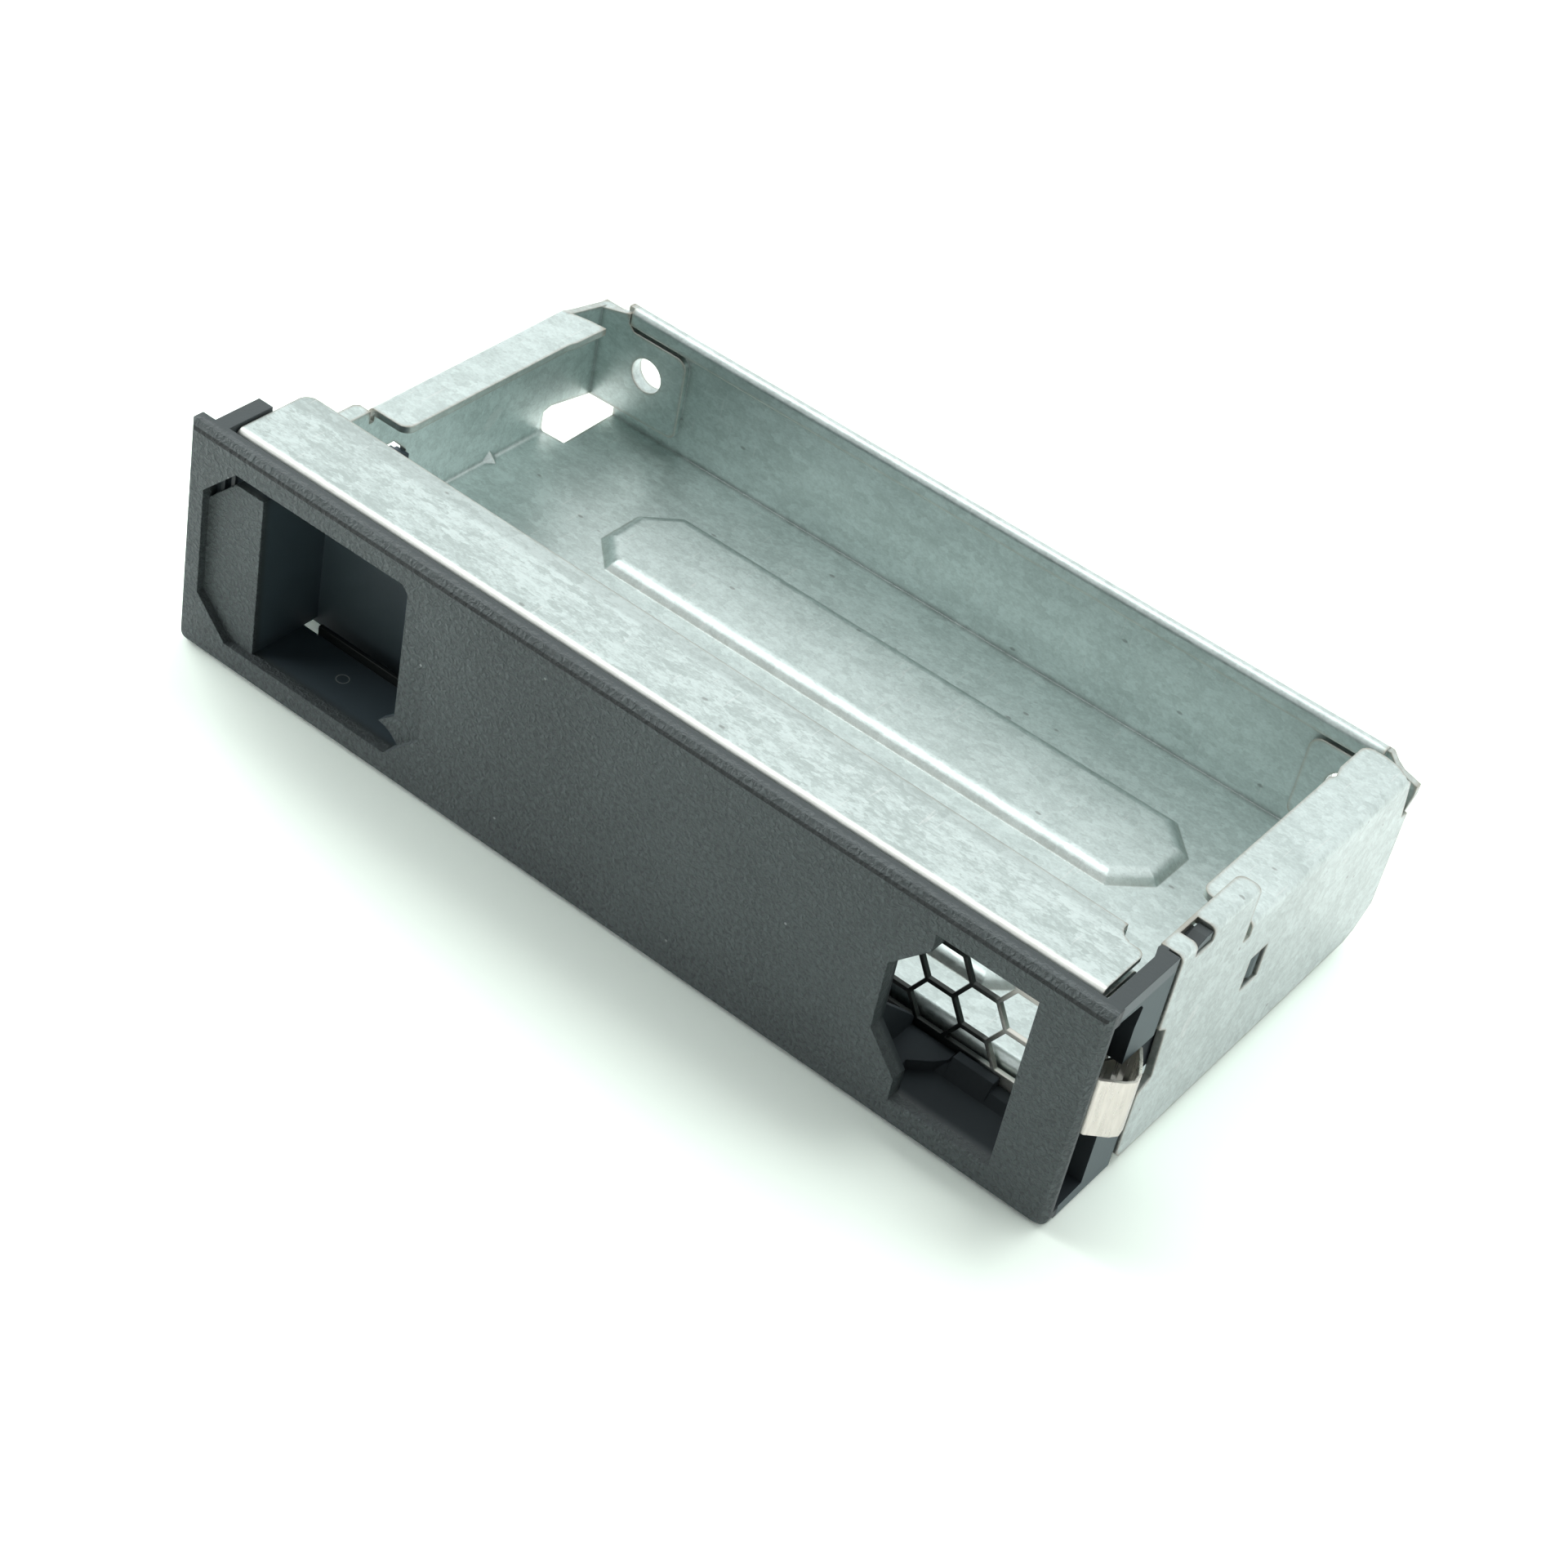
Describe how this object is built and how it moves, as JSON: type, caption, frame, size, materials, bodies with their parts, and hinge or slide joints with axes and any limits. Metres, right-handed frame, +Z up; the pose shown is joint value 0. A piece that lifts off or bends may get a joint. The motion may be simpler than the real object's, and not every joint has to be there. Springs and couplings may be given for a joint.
{
  "type": "hard drive blank",
  "caption": "Low blank for a 3.5-inch drive bay: black faceplate with finger pocket and vent window, honeycomb grille behind, and an open folded galvanised tray.",
  "frame": {"origin": "under the middle of the whole part, on the plane it stands on", "axes": "+X to the right along the faceplate, +Y from the faceplate to the rear, +Z up"},
  "size_m": [0.1096, 0.0578, 0.0264],
  "materials": {
    "bezel_black": "fine spark texture on the face, smoother inside",
    "panel_steel": "galvanised, fine mottled spangle",
    "tray_steel": "galvanised, fine mottled spangle",
    "spring_steel": "plated, satin"
  },
  "bodies": {
    "root": {"front_bezel": "bezel_black", "front_panel": "panel_steel", "steel_tray": "tray_steel", "contact_spring": "spring_steel"}
  },
  "joints": []
}
